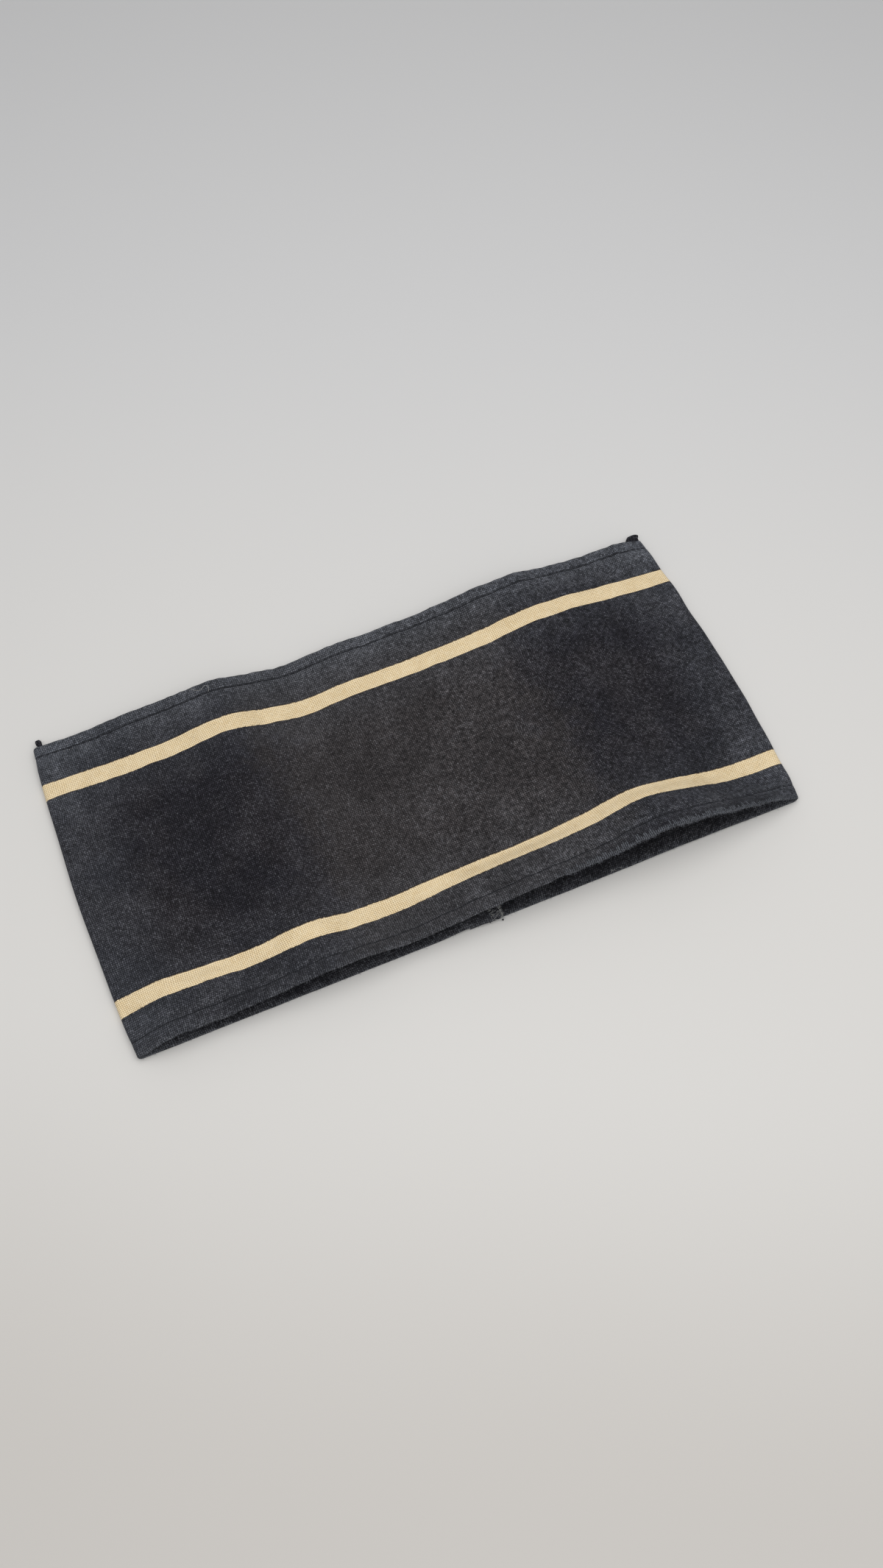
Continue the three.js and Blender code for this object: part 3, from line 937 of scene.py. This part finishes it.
def hem_stitches(name, across, material):
    """Lock stitches along a hem's sewing, on both faces, sunk in the crease that they pull."""
    arcs = line(across).arc
    first, last = arcs[0] + SEWING_MARGIN, arcs[-1] - SEWING_MARGIN
    starts = np.arange(first, last, STITCH_PITCH)
    draw = np.random.RandomState(21 if across < 0 else 22)
    paths, radii = [], []
    share = np.linspace(0, 1, 7)
    profile = np.sqrt(np.sin(math.pi * np.clip(share, 0.02, 0.98)))
    sunk = STITCH_RADIUS + 0.01 + 0.25 * (1 - profile)
    for depth, outer_face in ((0, True), (HEM_CLOTH, False)):
        inward = sunk if outer_face else -sunk
        for start in starts:
            length = STITCH_LENGTH * draw.uniform(0.93, 1.04)
            places = start + draw.uniform(-0.1, 0.1) + length * share
            points, into = on_line(across, places, depth, outer_face, sewn=False)
            points = points + into * inward[:, None]
            points[:, 1] += draw.uniform(-0.06, 0.06) + draw.uniform(-0.12, 0.12) * (share - 0.5)
            paths.append(points)
            radii.append(STITCH_RADIUS * (0.55 + 0.45 * profile))
    return tubes(name, paths, radii, material, sides=6)


def lap_stitches(name, material):
    """Two rows of stitches that close the loop, across the lap, on both faces of it."""
    draw = np.random.RandomState(31)
    paths, radii = [], []
    share = np.linspace(0, 1, 5)
    profile = np.sqrt(np.sin(math.pi * np.clip(share, 0.03, 0.97)))
    count = BACK_STEPS + LAP_STEPS
    lower, upper = LAP_SEWING_MARGINS
    for x in LAP_SEWING:
        for start in np.arange(-HALF_HEIGHT + lower, HALF_HEIGHT - upper, STITCH_PITCH):
            places = start + STITCH_LENGTH * share
            wobble = draw.uniform(-0.1, 0.1)
            above, below = [], []
            for across, raised in zip(places, profile):
                on_lap = line(across).x[-count:]
                inner_face = surface(across, thickness(across), outer_face=False)[-count:]
                top = np.interp(x, on_lap, inner_face[:, 2])
                drop = np.interp(x, on_lap, lap_overhang(on_lap, across))
                y = across + MIDDLE_Y + drop
                above.append([x + wobble, y, top - 0.05 + 0.12 * raised])
                below.append([x + wobble, y, STITCH_RADIUS + 0.2 * (1 - raised)])
            paths += [above, below]
            radii += [STITCH_RADIUS * (0.5 + 0.5 * profile)] * 2
    return tubes(name, paths, radii, material, sides=5)


def scrap(name, at, middle, half_width, half_thickness, reach, lean, waist, seed, material):
    """A fold of hem that pokes out past the upper edge, its two layers parted at its sides."""
    draw = np.random.RandomState(seed)
    turn = 2 * math.pi * np.arange(SCRAP_SIDES) / SCRAP_SIDES
    phases = draw.uniform(0, 2 * math.pi, 4)
    rings = []
    for t in np.linspace(0, 1, SCRAP_RINGS):
        tip = np.clip((t - SCRAP_TIP) / (1 - SCRAP_TIP), 0, 1)
        close = (1 - tip**SCRAP_BLUNT) ** (1 / SCRAP_BLUNT) + 0.04
        neck = 1 - waist * math.exp(-(((t - SCRAP_TIP) / 0.18) ** 2))
        wide, thick = half_width * neck * close, half_thickness * close**0.8
        power = SCRAP_SQUARE
        square = (np.abs(np.cos(turn)) ** power + np.abs(np.sin(turn)) ** power) ** (-1 / power)
        parted = np.exp(-((np.sin(turn) / 0.22) ** 2)) * (1 - tip) * SCRAP_PARTED
        lumps = sum(np.sin(k * turn + 5 * k * t + phases[k]) / k for k in (1, 2, 3))
        size = square * (1 - parted) + lumps * SCRAP_LUMPS
        x = at + lean * smooth(t) + wide * size * np.cos(turn)
        z = middle + 0.25 * (t - 0.5) + thick * size * np.sin(turn)
        bulge = 0.12 * np.sin(2 * turn + phases[0]) * (1 - tip)
        y = HALF_HEIGHT + MIDDLE_Y - SCRAP_ROOT + (SCRAP_ROOT + reach) * t + bulge
        rings.append(np.stack([x, y, np.maximum(z, 0.02)], -1))
    points = np.concatenate(rings)
    faces = [list(range(SCRAP_SIDES))]
    for r in range(SCRAP_RINGS - 1):
        for n in range(SCRAP_SIDES):
            m = (n + 1) % SCRAP_SIDES
            a, b = r * SCRAP_SIDES + n, r * SCRAP_SIDES + m
            faces.append([a, a + SCRAP_SIDES, b + SCRAP_SIDES, b])
    last = (SCRAP_RINGS - 1) * SCRAP_SIDES
    faces.append([last + n for n in range(SCRAP_SIDES)][::-1])
    from_root = points[:, 1] - points[:, 1].min()
    cloth = np.stack([points[:, 0] * 0.6, 20 + from_root, 0 * from_root], -1)
    return new_object(name, points, faces, material, cloth=cloth)


def bent_fibres(roots, ways, lengths, draw, bend):
    """Paths of fibres that leave their roots and wander off."""
    count, steps = len(roots), FIBRE_STEPS
    paths = np.zeros((count, steps, 3))
    paths[:, 0] = roots
    heading = ways / (np.linalg.norm(ways, axis=1, keepdims=True) + 1e-9)
    turn = draw.normal(0, bend, (count, 3))
    for s in range(1, steps):
        heading = heading + turn / steps + draw.normal(0, FIBRE_WANDER, (count, 3))
        heading /= np.linalg.norm(heading, axis=1, keepdims=True)
        paths[:, s] = paths[:, s - 1] + heading * (lengths / (steps - 1))[:, None]
    paths[:, :, 2] = np.maximum(paths[:, :, 2], FIBRE_LOWEST)
    return paths


def hem_fuzz(name, material):
    """Short fibres on the hems' folds and the scraps, thickest on the lower fold's right."""
    draw = np.random.RandomState(41)
    roots, ways, lengths = [], [], []
    for row in HEM_FUZZ:
        side, count = row["side"], row["count"]
        at = line(side * HALF_HEIGHT)
        start, end = row["arcs"] or (at.arc[0] + 1, at.arc[-1] - 1)
        arcs = draw.uniform(start, end, count)
        depths = draw.uniform(0, HEM_CLOTH, count)
        points, into = on_line(side * HALF_HEIGHT, arcs, 0)
        roots.append(points + into * depths[:, None] + [0, -side * 0.15, 0])
        out = into * (depths / HEM_CLOTH * 2 - 1)[:, None] * 0.8
        ways.append(out + [0, side, 0] + draw.normal(0, 0.5, (count, 3)))
        lengths.append(draw.uniform(0.25, row["longest"], count))
    count = SCRAP_FUZZ
    for row in SCRAPS:
        turn = draw.uniform(0, 2 * math.pi, count)
        off = np.stack([np.cos(turn) * row["half_width"], 0 * turn, np.sin(turn) * 0.5], -1) * 0.7
        tip = HALF_HEIGHT + MIDDLE_Y + draw.uniform(0.4, 0.8, count) * row["reach"]
        middle = [row["at"] + row["lean"], 0, row["middle"]]
        roots.append(middle + off + np.stack([0 * tip, tip, 0 * tip], -1))
        ways.append(off + [0, 0.6, 0.2] + draw.normal(0, 0.4, (count, 3)))
        lengths.append(draw.uniform(0.5, 1.3, count))
    roots, ways = np.concatenate(roots), np.concatenate(ways)
    lengths = np.concatenate(lengths)
    paths = bent_fibres(roots, ways, lengths, draw, 0.9)
    radii = np.tile(np.linspace(0.028, 0.012, paths.shape[1]), (len(paths), 1))
    return tubes(name, paths, radii, material, sides=3)


def frayed_lap(name, material):
    """Thread ends along the strip's upper end, longest where it shows at the lower edge."""
    draw = np.random.RandomState(51)
    shown = draw.uniform(-HALF_HEIGHT, FRAYED_FROM, FRAYED_SHOWN)
    hidden = draw.uniform(FRAYED_FROM, HALF_HEIGHT, FRAYED_HIDDEN)
    roots, ways, lengths = [], [], []
    for a in [*shown, *hidden]:
        inner_face = surface(a, thickness(a), outer_face=False)[-1]
        depth = draw.uniform(0, 1) ** 2 * thickness(a)
        back = draw.uniform(0.1, 3.4) if a < FRAYED_FROM and depth < 0.1 else 0.3
        roots.append(inner_face - [back, 0, depth - 0.05])
        ways.append([1, draw.normal(0, 0.35), draw.normal(-0.05, 0.25)])
        lengths.append(draw.uniform(0.5, 1.5) if a < FRAYED_FROM else draw.uniform(0.3, 0.9))
    paths = bent_fibres(np.array(roots), np.array(ways), np.array(lengths), draw, 0.7)
    radii = np.tile(np.linspace(0.06, 0.03, paths.shape[1]), (len(paths), 1))
    return tubes(name, paths, radii, material, sides=4)


def knots(name, material):
    """Cut ends of black thread that curl at the lap's corners, past the lower edge."""
    draw = np.random.RandomState(71)
    paths = []
    for x, across in KNOTS:
        turn = np.linspace(0, 2.2 * math.pi, KNOT_STEPS) + draw.uniform(0, 6)
        y = across + MIDDLE_Y + KNOT_CURL * np.sin(turn) - 0.02 * turn
        z = KNOT_HIGH + KNOT_CURL * np.cos(turn)
        paths.append(np.stack([x + 0.04 * turn, y, z], -1))
    radii = np.full((len(paths), KNOT_STEPS), STITCH_RADIUS)
    return tubes(name, paths, radii, material, sides=6)


def lint(name, material):
    """Pale specks and short curls of lint, with one longer loose thread."""
    draw = np.random.RandomState(81)
    places_at, course_at = np.linspace(0, 1, len(LOOSE_THREAD)), np.linspace(0, 1, LINT_STEPS)
    course = [eased(places_at, column, course_at) for column in zip(*LOOSE_THREAD)]
    paths = [[on_face(front_arc(x, a), a, -0.1) for x, a in zip(*course)]]
    for x, a in UPPER_LINT:
        turn = np.linspace(0, 2.2, LINT_STEPS) + draw.uniform(0, 6)
        size = draw.uniform(0.1, 0.2)
        curl_x, curl_a = x + size * np.cos(turn) + 0.1 * turn, a + size * np.sin(turn)
        paths.append([on_face(front_arc(u, v), v, -0.08) for u, v in zip(curl_x, curl_a)])
    for x, a in LOWER_LINT:
        turn = np.linspace(0, 3.5, LINT_STEPS) + draw.uniform(0, 6)
        size = draw.uniform(0.2, 0.4)
        curl_x = x + size * np.cos(turn) + 0.15 * turn
        curl_y = a + MIDDLE_Y + size * np.sin(turn)
        curl_z = thickness(a) + ROLL_IN + 0.25 + 0.1 * np.sin(turn * 2)
        paths.append(np.stack([curl_x, curl_y, curl_z], -1))
    radii = np.full((len(paths), LINT_STEPS), LINT_RADIUS)
    return tubes(name, paths, radii, material, sides=4)


def strewn_fibres(name, material):
    """Fine short fibres that lie all over the outer face."""
    draw = np.random.RandomState(91)
    paths = []
    for _ in range(STREWN_FIBRES):
        across = draw.uniform(-STREWN_REACH, STREWN_REACH)
        at = line(round(across / LINE_STEP) * LINE_STEP)
        arc = draw.uniform(at.arc[0] + 14, at.arc[-1] - 14)
        heading, bend = draw.uniform(0, 2 * math.pi), draw.normal(0, 0.5)
        length = draw.uniform(0.5, 2.2)
        path, steps = [], len(STREWN_RADII)
        for _ in range(steps):
            path.append(on_face(arc, float(np.clip(across, -54, 54)), -0.015))
            arc += math.cos(heading) * length / steps
            across += math.sin(heading) * length / steps
            heading += bend
        paths.append(path)
    paths = np.array(paths)
    paths[:, :, 2] = np.maximum(paths[:, :, 2], 0.02)
    radii = np.tile(STREWN_RADII, (STREWN_FIBRES, 1))
    return tubes(name, paths, radii, material, sides=3)


def make_camera():
    forward = Vector(
        (math.sin(YAW) * math.cos(PITCH), math.cos(YAW) * math.cos(PITCH), -math.sin(PITCH))
    )
    level = Vector((math.cos(YAW), -math.sin(YAW), 0))
    upright = level.cross(forward)
    right = level * math.cos(ROLL) + upright * math.sin(ROLL)
    up = upright * math.cos(ROLL) - level * math.sin(ROLL)
    data = bpy.data.cameras.new("camera")
    data.sensor_width = SENSOR
    data.lens = SENSOR * FOCAL_PIXELS / PHOTO_HEIGHT_PIXELS
    camera = bpy.data.objects.new("camera", data)
    bpy.context.scene.collection.objects.link(camera)
    turned = Matrix((right, up, -forward)).transposed().to_4x4()
    camera.matrix_world = Matrix.Translation(EYE) @ turned
    bpy.context.scene.camera = camera


def make_stage():
    """A pale floor with painted shade towards the camera and far away, with one soft light above
    it and a weaker one behind the camera.
    """
    n = Nodes("floor")
    place = n.add("ShaderNodeTexCoord").outputs["Object"]
    right, back, _ = n.split(place)
    away = n.plus(back, right, 0.45)
    away = n.plus(away, n.noise(place, 2.0, 2), 0.1)
    # Painted shade: the floor darkens towards the camera and far away, in place of the light's
    # fall-off
    color = n.mix(n.ramp(away, -0.17, -0.03), FLOOR_NEAR_PAINTED_SHADE, FLOOR_MIDDLE)
    color = n.mix(n.ramp(away, 0.0, 0.3), color, FLOOR_FAR_PAINTED_SHADE)
    floor_material = n.finish(color, 0.6, **FLOOR_FINISH)
    far = FLOOR_HALF
    corners = [(-far, -far, 0), (far, -far, 0), (far, far, 0), (-far, far, 0)]
    floor = new_object("floor", corners, [(0, 1, 2, 3)], floor_material)

    world = bpy.data.worlds.new("world")
    world.use_nodes = True
    background = world.node_tree.nodes["Background"]
    background.inputs["Color"].default_value = WORLD
    background.inputs["Strength"].default_value = WORLD_STRENGTH
    bpy.context.scene.world = world

    for row in LIGHTS:
        data = bpy.data.lights.new(row["name"], "AREA")
        data.size = row["size"]
        data.energy = row["power"]
        light = bpy.data.objects.new(row["name"], data)
        light.location = row["place"]
        light.rotation_mode = "QUATERNION"
        light.rotation_quaternion = (-Vector(row["place"])).to_track_quat("-Z", "Y")
        bpy.context.scene.collection.objects.link(light)
    bpy.context.scene.view_settings.view_transform = "Standard"


make_camera()
make_stage()

dark_cloth = cloth_material("dark_cloth")
light_cloth = cloth_material("light_cloth")
thread = {name: thread_material(name, **colors) for name, colors in THREADS.items()}

band_cloth = strip_object(
    "band_cloth",
    [(-HALF_HEIGHT, LOWER_OUT), (LOWER_IN, UPPER_IN), (UPPER_OUT, HALF_HEIGHT)],
    dark_cloth,
)
lower_stripe_cloth = strip_object("lower_stripe_cloth", [(LOWER_OUT, LOWER_IN)], light_cloth)
upper_stripe_cloth = strip_object("upper_stripe_cloth", [(UPPER_IN, UPPER_OUT)], light_cloth)
scraps = []
for row in SCRAPS:
    shape = {key: value for key, value in row.items() if key != "stands_for"}
    made_scrap = scrap(material=dark_cloth, **shape)
    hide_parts(row["stands_for"])
    scraps.append(made_scrap)
trim = [
    hem_stitches("lower_hem_stitches", stitch_line(-1), thread["black_thread"]),
    hem_stitches("upper_hem_stitches", stitch_line(1), thread["black_thread"]),
    lap_stitches("lap_stitches", thread["black_thread"]),
    knots("lap_knots", thread["black_thread"]),
    hem_fuzz("hem_fuzz", thread["grey_fibre"]),
    frayed_lap("frayed_lap", thread["frayed_end"]),
    strewn_fibres("strewn_fibres", thread["grey_fibre"]),
    lint("lint", thread["pale_fibre"]),
]

for piece in [band_cloth, lower_stripe_cloth, upper_stripe_cloth] + scraps + trim:
    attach(piece, "root")
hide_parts("band")
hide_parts("lower_stripe")
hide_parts("upper_stripe")
